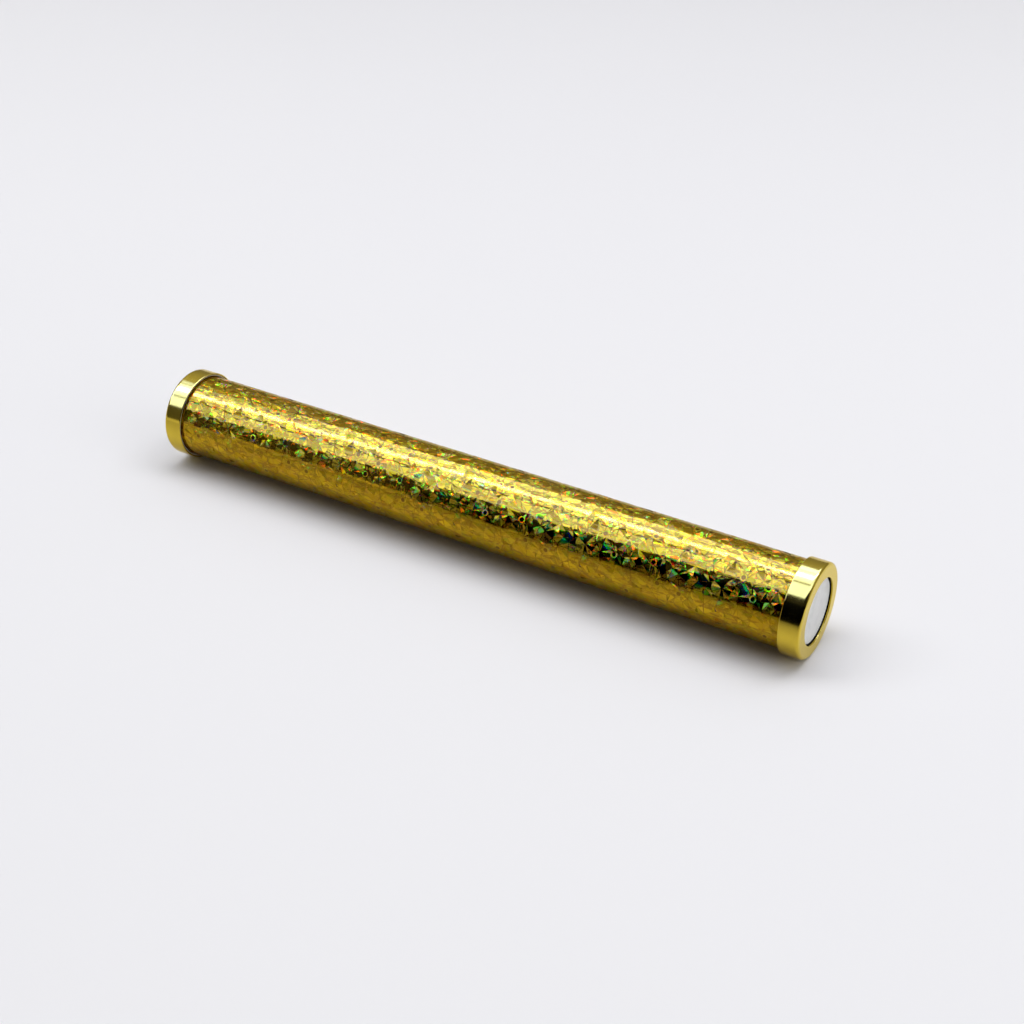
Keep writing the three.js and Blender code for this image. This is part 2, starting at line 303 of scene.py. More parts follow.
def hologram_film(name):
    """Gold mirror film. Each shard also throws red, green and blue aside, to either side of the
    mirror's direction and by different angles."""
    material, tree, output = new_material(name)
    place, _, _ = axis_coordinates(tree)
    grating = node(tree, "ShaderNodeAttribute", attribute_name="grating").outputs["Vector"]
    edges = node(tree, "ShaderNodeAttribute", attribute_name="edge_distance").outputs["Vector"]
    tint = node(tree, "ShaderNodeAttribute", attribute_name="tint").outputs["Vector"]
    share = node(tree, "ShaderNodeSeparateXYZ", {0: grating}).outputs[2]
    spread = node(tree, "ShaderNodeAttribute", attribute_name="spread").outputs["Fac"]

    # brown lines between the shards, stronger in some places than in others
    parts = node(tree, "ShaderNodeSeparateXYZ", {0: edges})
    nearest = maths(tree, "MINIMUM", parts.outputs[0], parts.outputs[1])
    nearest = maths(tree, "MINIMUM", nearest, parts.outputs[2])
    line = mapped(tree, nearest, 0.02, 0.085, 1.0, 0.0)
    patches = mapped(tree, noise(tree, place, 0.55, detail=2.0), 0.38, 0.58, 0.3, 1.0)
    line = maths(tree, "MULTIPLY", line, patches)

    # short brown streaks, stretched along the tube
    stretched = vector_maths(tree, "MULTIPLY", place, (0.3, 1.0, 1.0))
    streak_noise = noise(tree, stretched, 1.5, detail=3.0, distortion=0.5)
    streak = mapped(tree, streak_noise, 0.54, 0.59, 0.0, 0.75)
    darkened = maths(tree, "MAXIMUM", line, streak)

    # the paper's slow waves show through the film
    waves = noise(tree, place, 0.16, detail=1.0)
    normal = bump(tree, waves, 0.05 * MM)
    along = node(tree, "ShaderNodeCombineXYZ", {0: 1.0}).outputs[0]
    across = vector_maths(tree, "CROSS_PRODUCT", normal, along)

    tinted = vector_maths(tree, "MULTIPLY", FILM_GOLD, tint)
    mirror = node(
        tree,
        "ShaderNodeBsdfPrincipled",
        {
            "Base Color": vector_mix(tree, darkened, tinted, FILM_LINE),
            "Metallic": 1.0,
            "Roughness": FILM_ROUGHNESS,
            "Specular Tint": FILM_EDGE,
            "Coat Weight": 0.22,
            "Coat Roughness": 0.03,
            "Coat Normal": normal,
            "Normal": tilted(tree, normal, along, across, grating, MIRROR_LEAN),
        },
    )
    lobes = []
    for colour, apart in FILM_SPECTRUM:
        lean = maths(tree, "MULTIPLY_ADD", spread, apart, 1.0)
        for side in (1, -1):
            leant = tilted(tree, normal, along, across, grating, scaled_value(tree, lean, side))
            inputs = {"Color": (*colour, 1), "Roughness": THROWN_ROUGHNESS, "Normal": leant}
            lobes.append(node(tree, "ShaderNodeBsdfAnisotropic", inputs).outputs[0])
    thrown = maths(tree, "MULTIPLY", share, maths(tree, "SUBTRACT", 1.0, darkened))
    shader = shader_mix(tree, thrown, mirror.outputs[0], even_mix(tree, lobes))
    finish_material(tree, output, shader)
    return material


def frosted_plastic(name):
    """White frosted sheet that passes some light on to the cell."""
    material, tree, output = new_material(name)
    place, _, _ = axis_coordinates(tree)
    cloud = noise(tree, place, 0.45, detail=4.0, distortion=0.6)
    grain = noise(tree, place, 9.0, detail=3.0)
    colour = ramp(tree, cloud, (0.3, (0.86, 0.86, 0.845)), (0.7, (0.98, 0.98, 0.96)))
    relief = maths(tree, "ADD", grain, scaled_value(tree, cloud, 2.0))
    normal = bump(tree, relief, 0.012 * MM)
    front = node(
        tree,
        "ShaderNodeBsdfPrincipled",
        {
            "Base Color": colour,
            "Roughness": mapped(tree, grain, 0.3, 0.7, 0.38, 0.6),
            "Normal": normal,
        },
    )
    through = node(tree, "ShaderNodeBsdfTranslucent", {"Color": colour, "Normal": normal})
    finish_material(tree, output, shader_mix(tree, 0.25, front.outputs[0], through.outputs[0]))
    return material


def speckled(
    name, dark, light, scale, roughness, relief, metallic=0.0, coat=0.0, stretch=(1, 1, 1)
):
    """A material with two close colours in fine noise, matching bump, and roughness that varies.
    A matt one has almost no gloss besides."""
    material, tree, output = new_material(name)
    place, _, _ = axis_coordinates(tree)
    stretched = vector_maths(tree, "MULTIPLY", place, stretch)
    fine = noise(tree, stretched, scale, detail=5.0, roughness=0.65)
    broad = noise(tree, stretched, scale / 7, detail=2.0)
    mixed = maths(tree, "ADD", scaled_value(tree, fine, 0.6), scaled_value(tree, broad, 0.4))
    rough = mapped(tree, broad, 0.3, 0.7, roughness * 0.85, min(1.0, roughness * 1.15))
    inputs = {
        "Base Color": ramp(tree, mixed, (0.35, dark), (0.65, light)),
        "Metallic": metallic,
        "Roughness": rough,
        "Coat Weight": coat,
        "Specular IOR Level": 0.04 if roughness > MATT_ROUGHNESS else 0.5,
        "Normal": bump(tree, fine, relief * MM),
    }
    finish_principled(tree, output, inputs)
    return material


def spiral_card(name):
    """Kraft card wound in a spiral, with a fine butt joint between the turns."""
    material, tree, output = new_material(name)
    place, along, _ = axis_coordinates(tree)
    apart = node(tree, "ShaderNodeSeparateXYZ", {0: place})
    angle = maths(tree, "ARCTAN2", apart.outputs[2], apart.outputs[1])
    turns_along = scaled_value(tree, along, 1 / SPIRAL_PITCH)
    turns_round = scaled_value(tree, angle, 0.5 / math.pi)
    joint = maths(tree, "PINGPONG", maths(tree, "ADD", turns_along, turns_round), 0.5)
    stretched = vector_maths(tree, "MULTIPLY", place, (0.4, 2.0, 2.0))
    fibres = noise(tree, stretched, 2.2, detail=6.0, roughness=0.7)
    colour = ramp(tree, fibres, (0.3, (0.33, 0.23, 0.13)), (0.7, (0.5, 0.37, 0.23)))
    shade = mapped(tree, joint, 0.0, 0.006, 0.45, 1.0)
    inputs = {
        "Base Color": vector_maths(tree, "MULTIPLY", colour, shade),
        "Roughness": mapped(tree, fibres, 0.3, 0.7, 0.8, 0.95),
        "Normal": bump(tree, maths(tree, "ADD", fibres, shade), 0.03 * MM),
    }
    finish_principled(tree, output, inputs)
    return material


def clear_sheet(name, colour):
    """Clear or coloured glass or plastic, with faint scratches and a slight ripple."""
    material, tree, output = new_material(name)
    place, _, _ = axis_coordinates(tree)
    ripple = noise(tree, place, 1.2, detail=2.0)
    scratch_place = vector_maths(tree, "MULTIPLY", place, (3.0, 0.4, 7.0))
    scratches = noise(tree, scratch_place, 2.4, detail=6.0, roughness=0.8)
    tint = ramp(tree, ripple, (0.3, tuple(0.9 * c for c in colour)), (0.7, colour))
    inputs = {
        "Base Color": tint,
        "Roughness": mapped(tree, scratches, 0.4, 0.8, 0.04, 0.12),
        "Transmission Weight": 1.0,
        "IOR": 1.49,
        "Normal": bump(tree, ripple, 0.01 * MM),
    }
    finish_principled(tree, output, inputs)
    return material


def foam_rubber(name):
    """Black foam: small open cells in a matt skin, the cells painted darker as painted shade."""
    material, tree, output = new_material(name)
    place, _, _ = axis_coordinates(tree)
    cells = node(tree, "ShaderNodeTexVoronoi", {"Vector": place, "Scale": 2.4}).outputs["Distance"]
    dust = noise(tree, place, 6.0)
    cell_height_and_shade = mapped(tree, cells, 0.12, 0.5)
    # painted shade: the colour darkens down into the open cells
    colour = ramp(tree, cell_height_and_shade, (0.0, grey(0.012)), (1.0, grey(0.05)))
    inputs = {
        "Base Color": colour,
        "Roughness": mapped(tree, dust, 0.3, 0.7, 0.85, 1.0),
        "Normal": bump(tree, cell_height_and_shade, 0.12 * MM),
    }
    finish_principled(tree, output, inputs)
    return material


# ------------------------------------------------------------------ turned pieces

FINE_SEGMENTS = 240
BEAD_SEGMENTS = 64
BEAD_STEPS = 24  # along a round bead, from one end of its hole to the other
FILLET_STEPS = 6
SHARP_ANGLE = math.radians(40)


def filleted(corners):
    """Rounds a closed outline. Each corner is (x, radius, fillet); a fillet of 0 stays sharp.
    A holding point beside each fillet keeps the shading of the straight stretches flat."""
    points = []
    count = len(corners)
    for i, (x, r, fillet) in enumerate(corners):
        here = Vector((x, r))
        if fillet == 0:
            points.append(here)
            continue
        before = (Vector(corners[i - 1][:2]) - here).normalized()
        after = (Vector(corners[(i + 1) % count][:2]) - here).normalized()
        half = before.angle(after) / 2
        setback = fillet / math.tan(half)
        centre = here + (before + after).normalized() * (fillet / math.sin(half))
        start = here + before * setback
        end = here + after * setback
        hold = 0.15 * setback
        points.append(start + before * hold)
        sweep = (start - centre).angle_signed(end - centre)
        for k in range(FILLET_STEPS + 1):
            turn = Matrix.Rotation(-sweep * k / FILLET_STEPS, 2)
            points.append(centre + turn @ (start - centre))
        points.append(end + after * hold)
    return points


def smooth_mesh(name, mesh):
    """Smooths a mesh's shading, but for its sharp edges, and adds it to the scene."""
    mesh.polygons.foreach_set("use_smooth", [True] * len(mesh.polygons))
    mesh.set_sharp_from_angle(angle=SHARP_ANGLE)
    return add_object(name, mesh)


def turned(name, outline, segments=FINE_SEGMENTS):
    """A solid of revolution round the tube's axis from a closed outline of (x, radius) points.
    Points on the axis become the centre of a fan."""
    mesh = bpy.data.meshes.new(name)
    made = bmesh.new()
    rings = []
    for x, r in outline:
        if r < 1e-6:
            rings.append([made.verts.new((x * MM, 0, AXIS_HEIGHT))])
            continue
        ring = []
        for k in range(segments):
            angle = 2 * math.pi * k / segments
            y, z = r * math.cos(angle), r * math.sin(angle)
            ring.append(made.verts.new((x * MM, y * MM, AXIS_HEIGHT + z * MM)))
        rings.append(ring)
    for i, ring in enumerate(rings):
        following = rings[(i + 1) % len(rings)]
        if len(ring) == 1 and len(following) == 1:
            continue
        for k in range(segments):
            nearby = (k + 1) % segments
            if len(ring) == 1:
                made.faces.new((ring[0], following[nearby], following[k]))
            elif len(following) == 1:
                made.faces.new((ring[k], ring[nearby], following[0]))
            else:
                made.faces.new((ring[k], ring[nearby], following[nearby], following[k]))
    bmesh.ops.recalc_face_normals(made, faces=made.faces)
    made.to_mesh(mesh)
    made.free()
    return smooth_mesh(name, mesh)


def ring_outline(rear, front, inner, outer, fillet):
    """The outline of a ring with the same fillet on all four corners."""
    corners = ((rear, inner), (rear, outer), (front, outer), (front, inner))
    return filleted([(x, r, fillet) for x, r in corners])


def stands_for(piece, material, slot, *nodes, body=BARREL):
    """Gives a piece its material, and puts it in the place of CAD nodes."""
    piece.data.materials.append(material)
    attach(piece, body)
    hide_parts(*nodes)


def cap(name, node_name, facing, material):
    """A drawn cup: a face with a round window, a bent shoulder and a skirt with a rounded lip."""
    low, high = span(node_name)
    face = high if facing > 0 else -low
    mouth = face - (high - low)
    inner = CAP_RADIUS - CAP_WALL
    outline = filleted(
        [
            (face, CAP_HOLE_RADIUS, 0.1),
            (face, CAP_RADIUS, CAP_BEND),
            (mouth, CAP_RADIUS, 0.17),
            (mouth, inner, 0.17),
            (face - CAP_WALL, inner, CAP_BEND - CAP_WALL),
            (face - CAP_WALL, CAP_HOLE_RADIUS, 0.1),
        ]
    )
    shell = turned(name, [(facing * x, r) for x, r in outline])
    stands_for(shell, material, "gold_cap", node_name)


# ------------------------------------------------------------------ the film's shards

TILE = 30.0  # the embossed pattern repeats at this pitch, both ways
STRIP = 0.8  # width of the sheet's facets round the tube
WHEELS = 5  # round marks with radial cuts, in each tile
DOTS = 20
WHEEL_RADIUS = 2.1
DOT_RADIUS = 0.78
WHEEL_CORNERS = 24
DOT_CORNERS = 12
MARK_GAP = 0.8  # least gap between the rims of wheels and dots
CORNER_GAP = 0.4  # least gap between a rim and a shard corner outside it
SPOT_SHARE = 0.62  # a dot's dark spot, as a share of its radius
SPOT_GRATING = {"heading": 0, "lean": 0, "bend": 0, "stretch": 0, "share": 0.02, "spread": 0}
SPOT_TINT = (0.3, 0.24, 0.2)
SPACING = (0.9, 3.2)  # least distance between shard corners, where they are fine and coarse
DARTS = 2600  # tries at placing a shard corner in a tile
WHOLE_AREA = 0.5  # triangles smaller than this are never splintered
WHOLE_SHARE = 0.45  # of the larger ones, this share stays whole
CUT_TOLERANCE = 1e-7  # corners this near a cut lie on it
LEAST_AREA = 1e-6  # smaller faces are left out
LEAST_LENGTH = 1e-6  # corners nearer to each other are joined
TILE_MARGIN = 7.0  # how far past a tile its neighbours' corners are counted
FAR = 9.0  # an edge distance at which no line is drawn


class Shard:
    """A convex piece of the pattern, with its own grating and tint."""

    def __init__(self, corners, grating, tint, edges):
        self.corners = corners
        self.grating = grating
        self.tint = tint
        self.edges = edges

    def moved(self, across, along):
        """The same shard elsewhere on the sheet."""
        offset = Vector((across, along))
        corners = [c + offset for c in self.corners]
        edges = [(p + offset, n) for p, n in self.edges]
        return Shard(corners, self.grating, self.tint, edges)

    def lean_at(self, point):
        """The lean along and round the tube at a point, and the share of light that is thrown."""
        offset = point - self.corners[0]
        heading = self.grating["heading"] + self.grating["bend"] * offset.x
        lean = self.grating["lean"] * (1 + self.grating["stretch"] * offset.y)
        return (lean * math.cos(heading), lean * math.sin(heading), self.grating["share"])

    def edge_distances(self, point):
        """Distances to the sides that draw lines, filled up to three with a far value."""
        found = [(point - p).dot(n) for p, n in self.edges]
        return (found + [FAR] * 3)[:3]


def sides(corners):
    """A point and an inward normal for each side of a polygon given anticlockwise."""
    found = []
    for a, b in zip(corners, corners[1:] + corners[:1]):
        along = (b - a).normalized()
        found.append((a, Vector((-along.y, along.x))))
    return found


def grating_of(rng):
    """A random grating: its heading and lean, how much they change per millimetre, its share of
    the light, and how far apart it throws the colours."""
    lean = rng.uniform(0.08, 0.42) if rng.random() < 0.65 else rng.uniform(0.45, 0.85)
    return {
        "heading": rng.uniform(0, 2 * math.pi),
        "lean": lean,
        "bend": rng.uniform(-0.7, 0.7),
        "stretch": rng.uniform(-0.4, 0.4),
        "share": rng.choice((rng.uniform(0.1, 0.5), rng.uniform(0.65, 0.95))),
        "spread": rng.choice((-0.3, -0.2, -0.12, 0.12, 0.22)),
    }


def tint_of(rng):
    """A random factor for the film's colour."""
    level = rng.uniform(0.7, 1.14)
    return (level, level * rng.uniform(0.93, 1.05), level * rng.uniform(0.6, 1.6))


def wrapped_distance(a, b):
    """The distance between two points of a tile, the short way across its edges."""
    dx = abs(a.x - b.x) % TILE
    dy = abs(a.y - b.y) % TILE
    return math.hypot(min(dx, TILE - dx), min(dy, TILE - dy))


def place_marks(rng):
    """Centres and radii of the tile's wheels and dots, clear of each other."""
    marks = []
    for radius in [WHEEL_RADIUS] * WHEELS + [DOT_RADIUS] * DOTS:
        while True:
            centre = Vector((rng.uniform(0, TILE), rng.uniform(0, TILE)))
            if all(wrapped_distance(centre, c) > radius + r + MARK_GAP for c, r in marks):
                marks.append((centre, radius))
                break
    return marks


def rim(centre, radius):
    """Points round a wheel or a dot."""
    count = WHEEL_CORNERS if radius == WHEEL_RADIUS else DOT_CORNERS
    angles = [2 * math.pi * k / count for k in range(count)]
    return [centre + radius * Vector((math.cos(a), math.sin(a))) for a in angles]


def scatter_corners(rng, marks):
    """Shard corners by dart throwing, closer together in some places than in others."""
    corners = []
    phases = [rng.uniform(0, 2 * math.pi) for _ in range(4)]
    wave = 2 * math.pi / TILE
    for _ in range(DARTS):
        p = Vector((rng.uniform(0, TILE), rng.uniform(0, TILE)))
        waves = math.sin(2 * wave * p.x + phases[0]) * math.sin(3 * wave * p.y + phases[1])
        coarse = 0.5 + 0.25 * waves
        coarse += 0.25 * math.sin(5 * wave * p.x + phases[2] + 4 * wave * p.y)
        gap = SPACING[0] + (SPACING[1] - SPACING[0]) * coarse * rng.uniform(0.4, 1.0)
        if any(wrapped_distance(p, c) < r + CORNER_GAP for c, r in marks):
            continue
        if all(wrapped_distance(p, c) >= gap for c in corners):
            corners.append(p)
    return corners


def wheel_shards(rng, centre):
    """The sectors of a wheel."""
    points = rim(centre, WHEEL_RADIUS)
    count = len(points)
    step = rng.choice((2, 3))
    shards = []
    for k in range(0, count, step):
        corners = [centre] + [points[(k + j) % count] for j in range(step + 1)]
        edges = sides(corners)
        cuts = [edges[0], edges[-1]]
        shards.append(Shard(corners, grating_of(rng), tint_of(rng), cuts))
    return shards


def dot_shards(rng, centre):
    """The ring of a dot and the dark spot inside it."""
    points = rim(centre, DOT_RADIUS)
    spot = rim(centre, DOT_RADIUS * SPOT_SHARE)
    grating, tint = grating_of(rng), tint_of(rng)
    shards = []
    for k in range(len(points)):
        j = (k + 1) % len(points)
        corners = [spot[k], points[k], points[j], spot[j]]
        shards.append(Shard(corners, grating, tint, [sides(corners)[1]]))
    shards.append(Shard(spot, SPOT_GRATING, SPOT_TINT, []))
    return shards


def splintered(rng, corners):
    """A triangle, or often three narrower ones that meet at a point inside it."""
    if area(corners) < WHOLE_AREA or rng.random() < WHOLE_SHARE:
        return [corners]
    weights = [rng.uniform(0.1, 1.0) ** 1.5 for _ in corners]
    inside = sum((w * c for w, c in zip(weights, corners)), Vector((0, 0))) / sum(weights)
    return [[a, b, inside] for a, b in zip(corners, corners[1:] + corners[:1])]


def tile_triangles(corners, marks):
    """Triangles between the shard corners of a tile and its neighbours, which keep the rims of
    wheels and dots as edges."""
    low, high = -TILE_MARGIN, TILE + TILE_MARGIN
    points, joins = [], []

    def add(point):
        """The point's number, or None where it is too far from the tile."""
        if not (low < point.x < high and low < point.y < high):
            return None
        points.append(point)
        return len(points) - 1

    for shift_x in (-TILE, 0, TILE):
        for shift_y in (-TILE, 0, TILE):
            shift = Vector((shift_x, shift_y))
            for corner in corners:
                add(corner + shift)
            for centre, radius in marks:
                ring = [add(point + shift) for point in rim(centre, radius)]
                pairs = zip(ring, ring[1:] + ring[:1])
                joins += [pair for pair in pairs if None not in pair]
    found, _, triangles, *_ = delaunay_2d_cdt(points, joins, [], 0, LEAST_LENGTH)
    return [[Vector(found[i]) for i in triangle] for triangle in triangles]


def tile_shards():
    """The shards of one tile of the pattern. They repeat without a seam."""
    rng = random.Random(11)
    marks = place_marks(rng)
    shards = []
    for corners in tile_triangles(scatter_corners(rng, marks), marks):
        middle = sum(corners, Vector((0, 0))) / 3
        if not (0 <= middle.x < TILE and 0 <= middle.y < TILE):
            continue
        in_mark = any(wrapped_distance(middle, c) < r * 0.99 for c, r in marks)
        if in_mark:
            continue
        if area(corners) < 0:
            corners.reverse()
        for part in splintered(rng, corners):
            shards.append(Shard(part, grating_of(rng), tint_of(rng), sides(part)))
    for centre, radius in marks:
        mark_shards = wheel_shards if radius == WHEEL_RADIUS else dot_shards
        shards += mark_shards(rng, centre)
    return shards


def cut(polygon, axis, value):
    """Cuts a convex polygon by the line where a coordinate has a value: (below, above)."""
    below, above = [], []
    for a, b in zip(polygon, polygon[1:] + polygon[:1]):
        da, db = a[axis] - value, b[axis] - value
        if da <= CUT_TOLERANCE:
            below.append(a)
        if da >= -CUT_TOLERANCE:
            above.append(a)
        if min(da, db) < -CUT_TOLERANCE and max(da, db) > CUT_TOLERANCE:
            low, high = (a, b) if da < 0 else (b, a)
            share = (value - low[axis]) / (high[axis] - low[axis])
            crossing = low.lerp(high, share)
            crossing[axis] = value
            below.append(crossing)
            above.append(crossing)
    return below, above


def area(polygon):
    """The area of a polygon, positive where its corners run anticlockwise."""
    total = sum(a.cross(b) for a, b in zip(polygon, polygon[1:] + polygon[:1]))
    return total / 2


def film_faces(width, length):
    """Every shard of the whole sheet, clipped to it and cut into strips: (polygon, shard)."""
    tile = tile_shards()
    for i in range(math.ceil(width / TILE) + 2):
        for j in range(math.ceil(length / TILE) + 2):
            for pattern in tile:
                shard = pattern.moved((i - 1) * TILE, (j - 1) * TILE)
                polygon = shard.corners
                for axis, limit in ((0, width), (1, length)):
                    if polygon:
                        polygon = cut(polygon, axis, 0.0)[1]
                    if polygon:
                        polygon = cut(polygon, axis, limit)[0]
                if len(polygon) < 3 or area(polygon) < LEAST_AREA:
                    continue
                first = math.floor(min(p.x for p in polygon) / STRIP) + 1
                last = math.ceil(max(p.x for p in polygon) / STRIP) - 1
                for k in range(first, last + 1):
                    piece, polygon = cut(polygon, 0, k * STRIP)
                    if len(piece) >= 3 and area(piece) > LEAST_AREA:
                        yield piece, shard
                if len(polygon) >= 3 and area(polygon) > LEAST_AREA:
                    yield polygon, shard


def film_place(across, along, depth):
    """Where a point of the flat sheet lies on the tube, and the outward normal there."""
    angle = FILM_START_ANGLE + across / FILM_RADIUS
    climbed = (angle - (FILM_START_ANGLE + 2 * math.pi - LAP_RAMP)) / LAP_RAMP
    climbed = min(max(climbed, 0.0), 1.0)
    lift = LAP_LIFT * climbed * climbed * (3 - 2 * climbed)
    radius = FILM_RADIUS + lift - depth
    normal = Vector((0, math.cos(angle), math.sin(angle)))
    place = Vector(((FILM_REAR + along) * MM, 0, AXIS_HEIGHT)) + normal * radius * MM
    return place, normal


def film_sheet(material):
    """The wrapped film, with its shards as faces that carry their grating, tint and edges."""
    width = 2 * math.pi * FILM_RADIUS + FILM_LAP
    length = FILM_FRONT - FILM_REAR
    numbers, places, normals, faces = {}, [], [], []
    gratings, tints, edge_distances, spreads = [], [], [], []

    def vertex(point, depth):
        key = (round(point.x, 3), round(point.y, 3), depth)
        if key not in numbers:
            numbers[key] = len(places)
            place, normal = film_place(point.x, point.y, depth)
            places.append(place)
            normals.append(normal if depth == 0 else -normal)
        return numbers[key]

    def add_face(corners, shard, points, drawn=True):
        if len(set(corners)) < len(corners):
            return
        faces.append(corners)
        for point in points:
            gratings.extend(shard.lean_at(point))
            tints.extend(shard.tint)
            spreads.append(shard.grating["spread"])
            edge_distances.extend(shard.edge_distances(point) if drawn else [FAR] * 3)

    borders = {}
    for polygon, shard in film_faces(width, length):
        outer = [vertex(p, 0) for p in polygon]
        inner = [vertex(p, FILM_THICKNESS) for p in polygon]
        add_face(outer, shard, polygon)
        add_face(inner[::-1], shard, polygon[::-1])
        for k in range(len(polygon)):
            j = (k + 1) % len(polygon)
            side = (outer[k], outer[j])
            if side[::-1] in borders:
                del borders[side[::-1]]
            else:
                borders[side] = (inner[k], inner[j], shard, polygon[k])
    for (a, b), (c, d, shard, point) in borders.items():
        add_face([b, a, c, d], shard, [point] * 4, drawn=False)

    mesh = bpy.data.meshes.new("film_sheet")
    mesh.from_pydata(places, [], faces)
    for name, values in (("grating", gratings), ("tint", tints), ("edge_distance", edge_distances)):
        mesh.attributes.new(name, "FLOAT_VECTOR", "CORNER").data.foreach_set("vector", values)
    mesh.attributes.new("spread", "FLOAT", "CORNER").data.foreach_set("value", spreads)
    mesh.polygons.foreach_set("use_smooth", [True] * len(faces))
    mesh.normals_split_custom_set_from_vertices(normals)
    stands_for(add_object("film_sheet", mesh), material, "gold_film", "film_wrap")


# ------------------------------------------------------------------ the stage

CAMERA_TARGET = (0.0082, 0.0004, 0.010)
CAMERA_AZIMUTH = math.radians(30.4)
CAMERA_ELEVATION = math.radians(33.2)
CAMERA_DISTANCE = 0.365
LENS = 60.75
ROOM_TURN = CAMERA_AZIMUTH  # the lamps hang square to the camera's view
FLOOR_REACH = 3.5
KEY_PLACE = (-0.3, 0.14, 1.0)  # in the room
FILL_PLACE = Vector((0.75, -0.1, 0.4))
FILL_TARGET = Vector((0.0, 0.0, 0.1))
LAMP_COLOUR = (0.8, 1.08, 4.4)
CORE_COLOUR = (0.85, 1.05, 4.6)
PANEL_HEIGHT = 0.5
# each panel's left and right edges, its near and far edges, and its strength
PANELS = {
    "near": (-1.1, 0.35, -0.25, 0.0, 2.5),
    "middle_front": (-1.1, 0.4, 0.03, 0.115, 2.6),
    "core_front": (-1.1, 0.4, 0.125, 0.141, 11.0),
    "core_middle": (-1.1, 0.4, 0.147, 0.18, 15.0),
    "core_back": (-1.1, 0.4, 0.186, 0.205, 15.0),
    "middle_back": (-1.1, 0.4, 0.215, 0.285, 3.0),
    "far": (-0.2, 0.45, 0.3, 0.48, 3.6),
    "far_left": (-0.34, -0.2, 0.3, 0.38, 2.0),
}
# an upright dark card on the camera's side
FLAG_LEFT, FLAG_RIGHT = -0.06, 0.4
FLAG_Y = -0.1
FLAG_HEIGHT = 0.09
# a dark card just over the table, which makes its reflection fade away from the object
SHADE_LEFT, SHADE_RIGHT = -0.25, 0.4
SHADE_NEAR, SHADE_FAR = -0.018, -0.1
SHADE_HEIGHT = 0.0003
SHADE_LENGTH = 0.05  # at this distance from its near edge it lets through 1/e of the light
SURROUND_PROFILE = [(0.5, 0.0005), (1.5, 0.0005), (2.6, 0.2), (3.0, 0.7), (3.0, 3.0)]
SURROUND_SEGMENTS = 48


def make_camera():
    """The photo's view: from the front right, and from above."""
    data = bpy.data.cameras.new("camera")
    data.lens = LENS
    data.sensor_width = 36.0
    data.clip_start = 0.01
    data.clip_end = 50.0
    camera = add_object("camera", data)
    back = Vector(
        (
            math.sin(CAMERA_AZIMUTH) * math.cos(CAMERA_ELEVATION),
            -math.cos(CAMERA_AZIMUTH) * math.cos(CAMERA_ELEVATION),
            math.sin(CAMERA_ELEVATION),
        )
    )
    camera.location = Vector(CAMERA_TARGET) + back * CAMERA_DISTANCE
    camera.rotation_mode = "QUATERNION"
    camera.rotation_quaternion = (-back).to_track_quat("-Z", "Y")
    bpy.context.scene.camera = camera


def rectangle(left, right, low, high):
    """A rectangle's corners in order."""
    return [(left, low), (right, low), (right, high), (left, high)]


def flat_card(name, corners, material):
    """A flat stage card from its corners."""
    mesh = bpy.data.meshes.new(name)
    mesh.from_pydata(corners, [], [tuple(range(len(corners)))])
    mesh.materials.append(material)
    card = add_object(name, mesh)
    card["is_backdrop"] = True
    return card


def glow(name, colour, strength):
    """A plain emissive material for the panels."""
    material, tree, output = new_material(name)
    shader = node(tree, "ShaderNodeEmission", {"Color": (*colour, 1), "Strength": strength})
    finish_material(tree, output, shader.outputs[0])
    return material


def reflection_only(card):
    """The card shows in gloss, and in nothing else."""
    hide_from(card, "camera", "diffuse", "shadow", "transmission")


def falloff_shade():
    """Clear at the card's near edge and darker away from it, and less dark towards the rear cap."""
    material, tree, output = new_material("falloff")
    place = node(tree, "ShaderNodeTexCoord").outputs["Object"]
    apart = node(tree, "ShaderNodeSeparateXYZ", {0: place})
    away = maths(tree, "SUBTRACT", apart.outputs[1], SHADE_NEAR)
    let_through = maths(tree, "EXPONENT", scaled_value(tree, away, 1 / SHADE_LENGTH))
    strength = mapped(tree, apart.outputs[0], -0.12, 0.0, 0.45, 1.0)
    factor = maths(tree, "MULTIPLY", maths(tree, "SUBTRACT", 1.0, let_through), strength)
    clear = node(tree, "ShaderNodeBsdfTransparent")
    black = node(tree, "ShaderNodeEmission", {"Strength": 0.0})
    finish_material(tree, output, shader_mix(tree, factor, clear.outputs[0], black.outputs[0]))
    return material


def room_place(right, forward, height):
    """A place in the room: metres to the camera's right, away from the camera, and up."""
    turn = Matrix.Rotation(ROOM_TURN, 3, "Z")
    return turn @ Vector((right, forward, height))


def make_floor():
    """A matt white table."""
    material, tree, output = new_material("table_white")
    place = node(tree, "ShaderNodeTexCoord").outputs["Object"]
    mottle = noise(tree, place, 2.0, detail=3.0)
    inputs = {
        "Base Color": ramp(tree, mottle, (0.3, (0.82, 0.82, 0.85)), (0.7, (0.84, 0.84, 0.865))),
        "Roughness": 0.75,
        "Specular IOR Level": 0.0,
    }
    finish_principled(tree, output, inputs)
    places = rectangle(-FLOOR_REACH, FLOOR_REACH, -FLOOR_REACH, FLOOR_REACH)
    flat_card("table", [(x, y, 0) for x, y in places], material)


def soft_lamp(name, width, depth, energy, place, turn):
    """An area lamp that gloss does not show. Unturned, it faces down."""
    light = bpy.data.lights.new(name, "AREA")
    light.shape = "RECTANGLE"
    light.size = width
    light.size_y = depth
    light.energy = energy
    lamp = add_object(name, light)
    lamp.location = place
    lamp.rotation_mode = "QUATERNION"
    lamp.rotation_quaternion = turn
    hide_from(lamp, "glossy")
    return light


